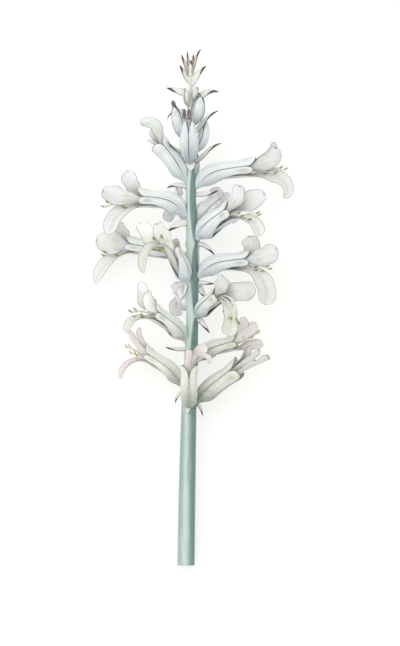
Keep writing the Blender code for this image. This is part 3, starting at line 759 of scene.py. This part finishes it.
def add_bract(flesh, bract):
    """A bract: a boat-shaped blade that tapers from its root, which is sunk in the scape, to a point."""
    seat = route_from_scape(bract.height, bract.azimuth, 1.0, bract.rise[:2], 1.0)
    start, along, towards, across = seat.rows[0]
    side = facing(across)

    def turn(u):
        return radians(through((0.0, 0.5, 1.0), bract.rise, u) - bract.rise[0])

    def width(u):
        return bract.width * through(BRACT_STATIONS, BRACT_PROFILE, u)

    def shade(u, xs):
        return bract.dark * np.array([ease((u - 0.5 + 0.2 * side * x) / 0.45) for x in xs])

    def blotch(u, xs):
        return 0.45 + 0.55 * (side * xs > 0)

    def blush(u, xs):
        return hump(u, 0.6, 0.26) * (bract.height > TOPMOST_BRACTS)

    path = Route(start - along * BRACT_ROOT, along, towards, bract.length + BRACT_ROOT, turn)
    blade(flesh, path, 0, BRACT_GRID, width, lambda u: radians(110 * (1 - 0.6 * u)),
          lambda u: side * radians(bract.roll), thickness=BRACT_THICKNESS,
          shade=shade, blotch=blotch, blush=blush)


def painted_shade_boundary(height):
    """The azimuth from which the scape's painted shade begins: furthest in the middle of each joint."""
    if height < SCAPE_JOINTS[0]:
        return LIGHT_FACE + 16 * (1 - height / SCAPE_JOINTS[0])
    k = min(len(SCAPE_JOINTS) - 2, int(np.searchsorted(SCAPE_JOINTS, height, "right")) - 1)
    t = (height - SCAPE_JOINTS[k]) / (SCAPE_JOINTS[k + 1] - SCAPE_JOINTS[k])
    return LIGHT_FACE + 26 - 46 * sin(pi * t ** 1.1) ** 0.5


def make_stem(finishes):
    """The scape: round below, angular among the florets, with a small ledge under each floret and bud."""
    azimuths = 360 * np.arange(SCAPE_SIDES) / SCAPE_SIDES
    outwards = np.stack([np.sin(np.radians(azimuths)), 0 * azimuths, np.cos(np.radians(azimuths))], -1)
    # Painted shade: a darker band down the scape's left side, towards its rim.
    from_left = (azimuths + 180) % 360 - 180
    rim = np.clip((-12 - from_left) / 30, 0, 1) * np.clip((160 + from_left) / 40, 0, 1)
    rings = np.zeros((SCAPE_RINGS + 1, SCAPE_SIDES, 3))
    shade = np.zeros((SCAPE_RINGS + 1, SCAPE_SIDES))
    for i in range(SCAPE_RINGS + 1):
        height = SCAPE_HEIGHTS[-1] * i / SCAPE_RINGS
        angular = ease((height - SCAPE_BARE) / 15) * 0.06
        radius = scape_radius(height) * (1 + angular * np.cos(np.radians(5 * (azimuths - 0.9 * height))))
        for form in FLORETS + BUDS:
            near = hump(height, form.height - 0.6, 1.5)
            if near > 0.01:
                radius += 0.34 * near * np.maximum(0, np.cos(np.radians(azimuths - form.azimuth))) ** 2
        rings[i] = np.array(scape_centre(height)) + radius[:, None] * outwards
        # Painted light and shade: pale on the side towards the light, darker past the boundary on the side
        # turned from it, with the band down the left side added.
        turned = (azimuths - painted_shade_boundary(height) + 180) % 360 - 180
        below = 1 - ease((height - SCAPE_BARE) / 12)
        painted_shade_side = 0.5 + 0.5 * np.tanh(turned / (5 + 15 * below))
        shade[i] = painted_shade_side - 0.5 * np.clip((np.abs(turned) - 130) / 40, 0, 1)
        shade[i] += (0.16 + below * (0.18 + 0.14 * ease(height / 40))) * rim
    flesh = Flesh()
    flesh.turned(rings, 0, shade=shade)
    flesh.piece("scape_stem", "scape", finishes, "scape")


def make_bracts(finishes):
    flesh = Flesh()
    for bract in BRACTS:
        add_bract(flesh, bract)
    flesh.piece("scape_bracts", "scape", finishes, "scape")


# Colour, light and camera

# How much brighter the light is than one that shows colours as given, which keeps the floor white.
BRIGHT = 1.15
SKY_STRENGTH = 0.84
SUN_STRENGTH = 0.9
SUN_SPREAD = radians(60)
SUN_FROM = (-0.36, 0.28, 0.95)
FLOOR_SIZE = 6.0
FLOOR_GLOW = 0.62
FLOOR_LOW = (0.37, 0.38, 0.365, 1.0)
FLOOR_HIGH = (0.39, 0.39, 0.38, 1.0)

# The depth of fine relief in metres, and the sizes of grain in the finishes, in spots per metre.
RELIEF = 0.0001
MOTTLE = 900.0
STIPPLE = 2600.0
STREAK = 260.0


def srgb(red, green, blue):
    """A colour given as it shows on a screen, 0 to 255, in Blender's linear values under this light."""
    def linear(c):
        c = c / 255
        return (c / 12.92 if c <= 0.04045 else ((c + 0.055) / 1.055) ** 2.4) / BRIGHT
    return (linear(red), linear(green), linear(blue), 1.0)


class Finish:
    """A node material in the making."""

    def __init__(self, name, roughness=0.5, subsurface=0.0):
        self.material = bpy.data.materials.new(name)
        self.material.use_nodes = True
        self.tree = self.material.node_tree
        self.shader = self.tree.nodes["Principled BSDF"]
        self.fill(self.shader, {"Roughness": roughness, "Specular IOR Level": 0.3})
        if subsurface:
            self.fill(self.shader, {"Subsurface Weight": subsurface, "Subsurface Radius": (1.0, 0.9, 0.8),
                                    "Subsurface Scale": 0.0008})

    def fill(self, node, inputs):
        """Fills a node's input sockets: another socket is linked, and a plain value is set directly."""
        for name, value in inputs.items():
            if isinstance(value, bpy.types.NodeSocket):
                self.tree.links.new(value, node.inputs[name])
            else:
                node.inputs[name].default_value = value

    def node(self, kind, output, inputs, **settings):
        """One output of a new node of a kind, with its inputs filled and its own settings."""
        made = self.tree.nodes.new(f"ShaderNode{kind}")
        for name, value in settings.items():
            setattr(made, name, value)
        self.fill(made, inputs)
        return made.outputs[output]

    def paint(self, name):
        """A value painted on the piece's points."""
        return self.node("Attribute", "Fac", {}, attribute_name=name)

    def place(self, axis):
        """The petal coordinate across (X) or along (Y)."""
        return self.node("SeparateXYZ", axis, {0: self.node("UVMap", "UV", {}, uv_map="petal")})

    def combine(self, operation, a, b=0.0):
        return self.node("Math", 0, {0: a, 1: b}, operation=operation)

    def times(self, a, b):
        return self.combine("MULTIPLY", a, b)

    def ramp(self, value, low, high, first=0.0, last=1.0):
        """A smooth change from first to last as the value goes from low to high."""
        inputs = {"Value": value, "From Min": low, "From Max": high, "To Min": first, "To Max": last}
        return self.node("MapRange", "Result", inputs, interpolation_type="SMOOTHSTEP")

    def noise(self, scale, detail=3.0, stretch=(1.0, 1.0, 1.0)):
        """Noise over the piece's own place in metres; scale is in spots per metre."""
        own = self.node("TexCoord", "Object", {})
        place = self.node("Mapping", "Vector", {"Scale": stretch, "Vector": own})
        return self.node("TexNoise", "Fac", {"Scale": scale, "Detail": detail, "Vector": place})

    def mix(self, factor, a, b):
        return self.node("Mix", 2, {0: factor, 6: a, 7: b}, data_type="RGBA")

    def tint(self, colour, amount, share, target):
        """The colour, taken towards the target by a share of the amount."""
        return self.mix(self.times(amount, share), colour, srgb(*target))

    def lines(self, count, low, high):
        """Thin lines along the blade, count of them across it, that fade in by low and out by high."""
        wobble = self.times(self.noise(STREAK, 2.0), 0.35)
        across = self.combine("ADD", self.times(self.place("X"), float(count)), wobble)
        saw = self.combine("ABSOLUTE", self.combine("SUBTRACT", self.combine("FRACT", across), 0.5))
        crest = self.ramp(saw, 0.0, 0.16, 1.0, 0.0)
        along = self.place("Y")
        fade_in = self.ramp(along, low - 0.12, low)
        fade = self.times(fade_in, self.ramp(along, high - 0.25, high, 1.0, 0.0))
        return self.times(crest, fade)

    def bump(self, height, strength, distance=RELIEF):
        relief = {"Strength": strength, "Distance": distance, "Height": height}
        self.fill(self.shader, {"Normal": self.node("Bump", "Normal", relief)})

    def done(self, colour):
        """The finished material, in the colour."""
        self.fill(self.shader, {"Base Color": colour})
        return self.material


def tepal_finish(name, light, shadow, blotch, line, span=(0.2, 1.0), margin=0.75, veins=3, blush=None):
    """A fleshy tepal: painted shade, most towards its base, with a blotch near its tip, faint veins and a
    fine margin.

    span is where along it the veins show, and margin is how strong its edge line is.
    """
    finish = Finish(name, 0.48, 0.12)
    mottle = finish.noise(MOTTLE, 4.0)
    stipple = finish.noise(STIPPLE, 2.0)
    uneven = finish.times(finish.combine("SUBTRACT", mottle, 0.5), 0.5)
    shade = finish.combine("ADD", finish.paint("shade"), uneven)
    # Painted light and shade: the light colour goes over to the shadow colour as the painted shade values
    # rise.
    colour = finish.mix(finish.ramp(shade, 0.0, 1.0), srgb(*light), srgb(*shadow))
    if blush:
        colour = finish.tint(colour, finish.paint("blush"), 0.7, blush)
    colour = finish.tint(colour, finish.paint("blotch"), 0.75, blotch)
    crest = finish.lines(veins, *span)
    colour = finish.tint(colour, crest, 0.16, line)
    # Painted shade: stipple in the line colour, heavier where the painted shade is deeper.
    specks = finish.ramp(stipple, 0.54, 0.7, 0.0, 0.3)
    colour = finish.tint(colour, specks, finish.ramp(shade, 0.1, 0.7, 0.25), line)
    colour = finish.mix(finish.ramp(finish.paint("edge"), 0.08, 0.32, margin, 0.0), colour, srgb(*line))
    grooves = finish.times(crest, -0.3)
    finish.bump(finish.combine("ADD", grooves, finish.times(mottle, 0.5)), 0.35)
    return finish.done(colour)


def plain_finish(name, low, high, scale, roughness=0.5, relief=0.3):
    """A small part that varies between two colours."""
    finish = Finish(name, roughness)
    spots = finish.noise(scale, 3.0)
    finish.bump(spots, relief)
    return finish.done(finish.mix(finish.ramp(spots, 0.35, 0.65), srgb(*low), srgb(*high)))


def bract_finish():
    """Thin white bracts with a dark lower margin and a blackish tip, purple-red at the top of the spike."""
    finish = Finish("bract_white_and_dark", 0.55)
    mottle = finish.times(finish.noise(1500.0, 3.0), 0.25)
    tip = finish.ramp(finish.combine("ADD", finish.paint("shade"), mottle), 0.35, 0.95)
    dark = finish.mix(finish.paint("blush"), srgb(66, 62, 64), srgb(112, 62, 74))
    pale = finish.mix(finish.paint("blush"), srgb(236, 236, 230), srgb(238, 231, 224))
    margin = finish.ramp(finish.paint("edge"), 0.05, 0.34, 0.85, 0.0)
    colour = finish.tint(finish.mix(tip, pale, dark), margin, finish.paint("blotch"), (80, 76, 78))
    finish.bump(finish.lines(5, 0.1, 1.0), 0.3)
    return finish.done(colour)


def stem_finish():
    """The glaucous scape: waxy pale green on its painted lit side, slate green on its painted shaded side."""
    finish = Finish("scape_glaucous", 0.42)
    streaks = finish.noise(STREAK, 4.0, (3.0, 0.25, 3.0))
    mottle = finish.noise(1100.0, 4.0)
    wander = finish.times(finish.combine("SUBTRACT", streaks, 0.5), 0.5)
    shade = finish.combine("ADD", finish.paint("shade"), wander)
    # Painted light and shade: pale green where the painted shade values are low, slate green where they are
    # high.
    pale = finish.mix(finish.ramp(shade, 0.0, 0.5), srgb(199, 217, 209), srgb(156, 178, 174))
    colour = finish.mix(finish.ramp(shade, 0.45, 0.95), pale, srgb(116, 140, 135))
    colour = finish.mix(finish.ramp(mottle, 0.5, 0.8, 0.0, 0.25), colour, srgb(186, 204, 198))
    # Painted shade: dark stipple, heavier where the painted shade is deeper.
    specks = finish.ramp(finish.noise(STIPPLE, 2.0), 0.5, 0.68, 0.0, 0.3)
    colour = finish.tint(colour, specks, finish.ramp(shade, 0.2, 0.7), (84, 106, 108))
    colour = finish.mix(finish.ramp(finish.place("Y"), 0.8, 0.97), colour, srgb(222, 226, 212))
    finish.bump(finish.combine("ADD", streaks, finish.times(mottle, 0.3)), 0.3, 2 * RELIEF)
    return finish.done(colour)


# Colours of the tepals' lines, of their blotches and of a blush, and spans along them for veins.
FINE, PLAIN, WARM = (112, 116, 120), (128, 130, 134), (146, 136, 128)
BROWN, ROSY = (112, 113, 102), (142, 130, 132)
MOSS, OLIVE, STRAW, PINK = (186, 194, 160), (204, 206, 164), (216, 213, 176), (236, 228, 226)
WHOLE, LONG, LONGEST, MIDDLE, LIMB = (0.2, 1.0), (0.15, 1.0), (0.1, 1.0), (0.25, 0.8), (0.2, 0.9)

# The tepals: their colours in painted light, painted shadow, blotch and line, and the rest that tepal_finish
# takes.
TEPALS = {
    "outer_tepal_blue": ((238, 241, 239), (197, 209, 213), MOSS, FINE, WHOLE, 0.9),
    "outer_tepal_fresh": ((238, 241, 234), (186, 196, 189), MOSS, FINE, WHOLE, 0.9),
    "outer_tepal_sea": ((233, 236, 227), (166, 185, 189), MOSS, FINE, WHOLE, 0.9),
    "outer_tepal_green": ((242, 244, 235), (150, 159, 143), STRAW, BROWN, LONG),
    # Painted shade: a darker copy of the green outer tepal, for two florets low on the right.
    "outer_tepal_dusk": ((230, 233, 223), (140, 150, 136), (206, 206, 178), BROWN, LONG),
    # Painted shade: a greyer copy of the outer tepal, for the florets at the back of the spike.
    "outer_tepal_grey": ((250, 251, 253), (190, 194, 199), (208, 208, 204), (150, 150, 156)),
    "inner_tepal_white": ((237, 240, 236), (192, 196, 200), (200, 198, 156), PLAIN, MIDDLE),
    "inner_tepal_shaded": ((226, 229, 224), (184, 188, 189), (196, 195, 156), PLAIN, MIDDLE),
    "inner_tepal_cream": ((253, 254, 250), (242, 243, 238), STRAW, WARM, MIDDLE),
    "inner_tepal_pink": ((244, 240, 238), (226, 220, 217), (224, 218, 206), ROSY, LIMB, 0.5, 3, PINK),
    "inner_tepal_dusk": ((221, 219, 217), (180, 178, 177), (206, 202, 188), (120, 114, 116), LIMB),
    "inner_tepal_grey": ((238, 236, 239), (219, 219, 223), (208, 207, 202), (150, 148, 154), MIDDLE),
    "lip_white": ((238, 240, 235), (182, 190, 194), OLIVE, PLAIN),
    "lip_cream": ((234, 234, 223), (186, 189, 180), OLIVE, PLAIN),
    "lip_pink": ((236, 232, 228), (172, 174, 164), OLIVE, ROSY, WHOLE, 0.75, 3, (230, 220, 217)),
    "bud_tepal": ((236, 241, 241), (174, 187, 191), (190, 195, 188), (84, 92, 100), LONGEST, 0.9),
    "young_bud_tepal": ((230, 233, 226), (190, 195, 186), (196, 196, 184), (120, 124, 118), LONGEST, 0.75, 2),
}

# The small parts: two colours, the grain in spots per metre, and the rest that plain_finish takes.
SMALL_PARTS = {
    "filament_white": ((226, 226, 214), (240, 240, 232), 900.0),
    "anther_olive": ((140, 132, 80), (182, 174, 118), 1500.0, 0.7, 0.6),
    "anther_yellow": ((190, 172, 110), (218, 206, 156), 1500.0, 0.7, 0.6),
    "anther_purple": ((78, 66, 78), (150, 136, 144), 1500.0, 0.6, 0.6),
    "bud_core": ((206, 212, 208), (226, 230, 226), 800.0),
}

# What the florets' outer tepals, inner tepals and lip look like: usually, in the lower whorl, and by name.
USUAL = ("outer_tepal_blue", "inner_tepal_white", "lip_white")
LOWER = ("outer_tepal_green", "inner_tepal_pink", "lip_pink")
# Painted shade: greyer tepals and lip for the florets at the back of the spike.
REAR_PAINTED_SHADE = ("outer_tepal_grey", "inner_tepal_grey", "inner_tepal_grey")
FLORET_LOOKS = {
    "floret_right_1": ("outer_tepal_blue", "inner_tepal_shaded", "lip_white"),
    "floret_right_4": ("outer_tepal_sea", "inner_tepal_shaded", "lip_cream"),
    "floret_left_3": ("outer_tepal_blue", "inner_tepal_cream", "lip_cream"),
    "floret_left_4": ("outer_tepal_fresh", "inner_tepal_cream", "lip_cream"),
    "floret_right_5": ("outer_tepal_dusk", "inner_tepal_pink", "lip_pink"),
    "floret_right_6": ("outer_tepal_dusk", "inner_tepal_dusk", "inner_tepal_dusk"),
    "floret_back_1": REAR_PAINTED_SHADE,
    "floret_back_2": REAR_PAINTED_SHADE,
    "floret_back_3": REAR_PAINTED_SHADE,
}


def make_spike():
    finish = {name: tepal_finish(name, *looks) for name, looks in TEPALS.items()}
    finish.update({name: plain_finish(name, *looks) for name, looks in SMALL_PARTS.items()})
    for floret in FLORETS:
        usual, anthers = (LOWER, "anther_yellow") if floret.height < LOWER_WHORL else (USUAL, "anther_olive")
        looks = FLORET_LOOKS.get(floret.name, usual) + ("filament_white", anthers)
        make_floret(floret, [finish[name] for name in looks])
    for bud in BUDS:
        tepal = "young_bud_tepal" if bud.height > YOUNG_BUDS else "bud_tepal"
        make_bud(bud, [finish[name] for name in (tepal, "bud_core", "anther_purple")])
    make_stem((stem_finish(),))
    make_bracts((bract_finish(),))


def make_floor():
    """A plain pale table top, lit a little from within so that the shadows on it stay faint."""
    bpy.ops.mesh.primitive_plane_add(size=FLOOR_SIZE, location=(0.0, 0.0, 0.0))
    floor = bpy.context.active_object
    floor.name = "floor"
    finish = Finish("floor_paper", 0.9)
    finish.fill(finish.shader, {"Emission Color": (1.0, 1.0, 0.98, 1.0), "Emission Strength": FLOOR_GLOW})
    floor.data.materials.append(finish.done(finish.mix(finish.noise(8.0, 2.0), FLOOR_LOW, FLOOR_HIGH)))


def make_light():
    """Soft light from the upper left, with a bright even surround."""
    world = bpy.data.worlds.new("surround")
    world.use_nodes = True
    sky = world.node_tree.nodes["Background"]
    sky.inputs["Color"].default_value = (1.0, 1.0, 1.0, 1.0)
    sky.inputs["Strength"].default_value = SKY_STRENGTH * BRIGHT
    bpy.context.scene.world = world
    lamp = bpy.data.lights.new("window", "SUN")
    lamp.energy = SUN_STRENGTH * BRIGHT
    lamp.angle = SUN_SPREAD
    sun = bpy.data.objects.new("window", lamp)
    sun.rotation_euler = Vector(SUN_FROM).to_track_quat("Z", "Y").to_euler()
    bpy.context.scene.collection.objects.link(sun)


def make_camera():
    """The camera faces the scape squarely, at the photograph's scale."""
    right = (PHOTO_PIXELS[0] / 2 - STEM_PIXEL[0]) * MM_PER_PIXEL
    up = (STEM_PIXEL[1] - PHOTO_PIXELS[1] / 2) * MM_PER_PIXEL
    reach = PHOTO_PIXELS[1] * MM_PER_PIXEL * LENS / SENSOR
    data = bpy.data.cameras.new("camera")
    data.lens = LENS
    data.sensor_width = SENSOR
    camera = bpy.data.objects.new("camera", data)
    place = TO_FRAME @ Vector((right, up, reach))
    camera.matrix_world = Matrix.Translation(place) @ Matrix.Rotation(TILT, 4, "X")
    bpy.context.scene.collection.objects.link(camera)
    bpy.context.scene.camera = camera
    bpy.context.scene.view_settings.view_transform = "Standard"


make_spike()
make_floor()
make_light()
make_camera()
